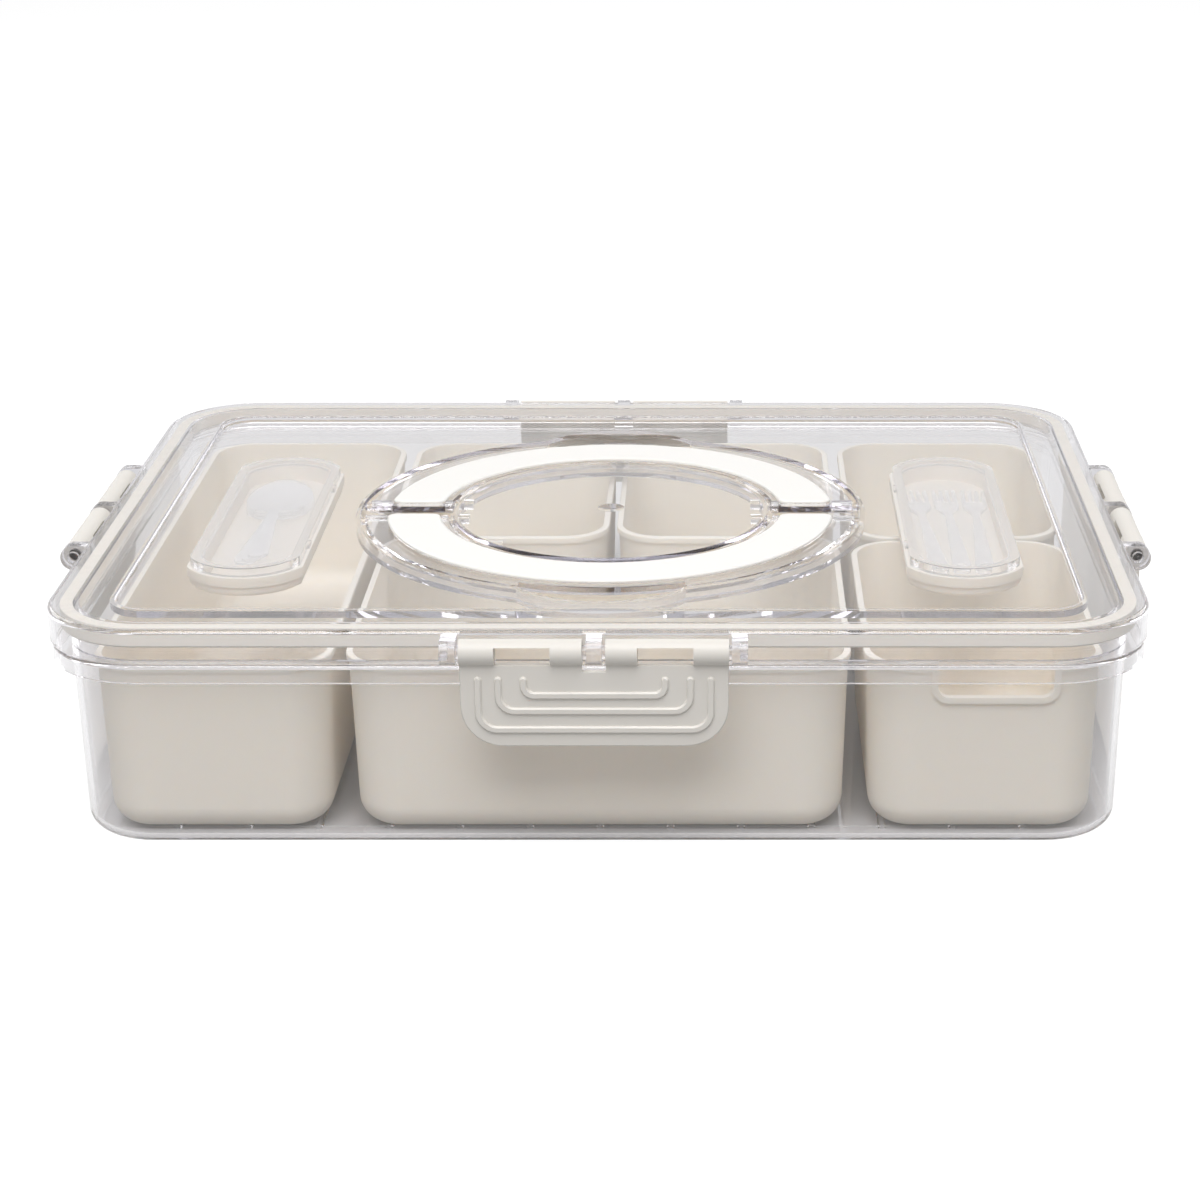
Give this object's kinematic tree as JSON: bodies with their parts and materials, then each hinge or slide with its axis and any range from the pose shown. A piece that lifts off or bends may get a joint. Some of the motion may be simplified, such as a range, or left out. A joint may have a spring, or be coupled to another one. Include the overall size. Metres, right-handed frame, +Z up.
{
  "type": "divided snack box",
  "caption": "Flat clear serving box with a lift-off clear lid, snap latches, a fold-up two-part carrying ring, removable cream inner boxes and cutlery cases under the lid",
  "frame": {"origin": "middle of the underside, under the centre of the closed box", "axes": "+Z up, +X along the long side to the right, the front latch faces -Y"},
  "size_m": [0.4054, 0.3094, 0.0838],
  "materials": {
    "clear_plastic": "clear polished moulding",
    "cream_plastic": "fine satin moulding",
    "latch_plastic": "satin moulding",
    "grip_plastic": "soft satin moulding",
    "gasket_rubber": "cream silicone rubber",
    "cutlery_plastic": "frosted clear moulding"
  },
  "bodies": {
    "tub_body": {"tub": "clear_plastic", "box_left": "cream_plastic", "box_front_centre": "cream_plastic", "box_back_centre_left": "cream_plastic", "box_back_centre_right": "cream_plastic", "box_front_right": "cream_plastic", "box_back_right": "cream_plastic"},
    "lid_body": {"lid": "clear_plastic", "gasket": "gasket_rubber", "cutlery_cover_left": "clear_plastic", "cutlery_cover_right": "clear_plastic", "cutlery_tray_left": "cream_plastic", "cutlery_tray_right": "cream_plastic", "fork_1": "cutlery_plastic", "fork_2": "cutlery_plastic", "fork_3": "cutlery_plastic", "spoon_1": "cutlery_plastic", "spoon_2": "cutlery_plastic", "spoon_3": "cutlery_plastic"},
    "front_latch": {"latch_front": "latch_plastic"},
    "back_latch": {"latch_back": "latch_plastic"},
    "left_latch": {"latch_left": "latch_plastic"},
    "right_latch": {"latch_right": "latch_plastic"},
    "front_handle": {"handle_front_frame": "clear_plastic", "handle_front_grip": "grip_plastic"},
    "back_handle": {"handle_back_frame": "clear_plastic", "handle_back_grip": "grip_plastic"}
  },
  "joints": [
    {"name": "lid_lift", "type": "slide", "parent": "tub_body", "child": "lid_body", "axis": [0, 0, 1], "range_m": [0, 0.12]},
    {"name": "front_latch_hinge", "type": "hinge", "parent": "lid_body", "child": "front_latch", "pos_m": [0, -0.15, 0.0782], "axis": [-1, 0, 0], "range_deg": [-7, 135]},
    {"name": "back_latch_hinge", "type": "hinge", "parent": "lid_body", "child": "back_latch", "pos_m": [0, 0.15, 0.0782], "axis": [1, 0, 0], "range_deg": [-7, 135]},
    {"name": "left_latch_hinge", "type": "hinge", "parent": "lid_body", "child": "left_latch", "pos_m": [-0.198, 0, 0.0782], "axis": [0, 1, 0], "range_deg": [-7, 135]},
    {"name": "right_latch_hinge", "type": "hinge", "parent": "lid_body", "child": "right_latch", "pos_m": [0.198, 0, 0.0782], "axis": [0, -1, 0], "range_deg": [-7, 135]},
    {"name": "front_handle_fold", "type": "hinge", "parent": "lid_body", "child": "front_handle", "pos_m": [0, -0.0092, 0.0787], "axis": [-1, 0, 0], "range_deg": [0, 90]},
    {"name": "back_handle_fold", "type": "hinge", "parent": "lid_body", "child": "back_handle", "pos_m": [0, 0.0092, 0.0787], "axis": [1, 0, 0], "range_deg": [0, 90]}
  ]
}
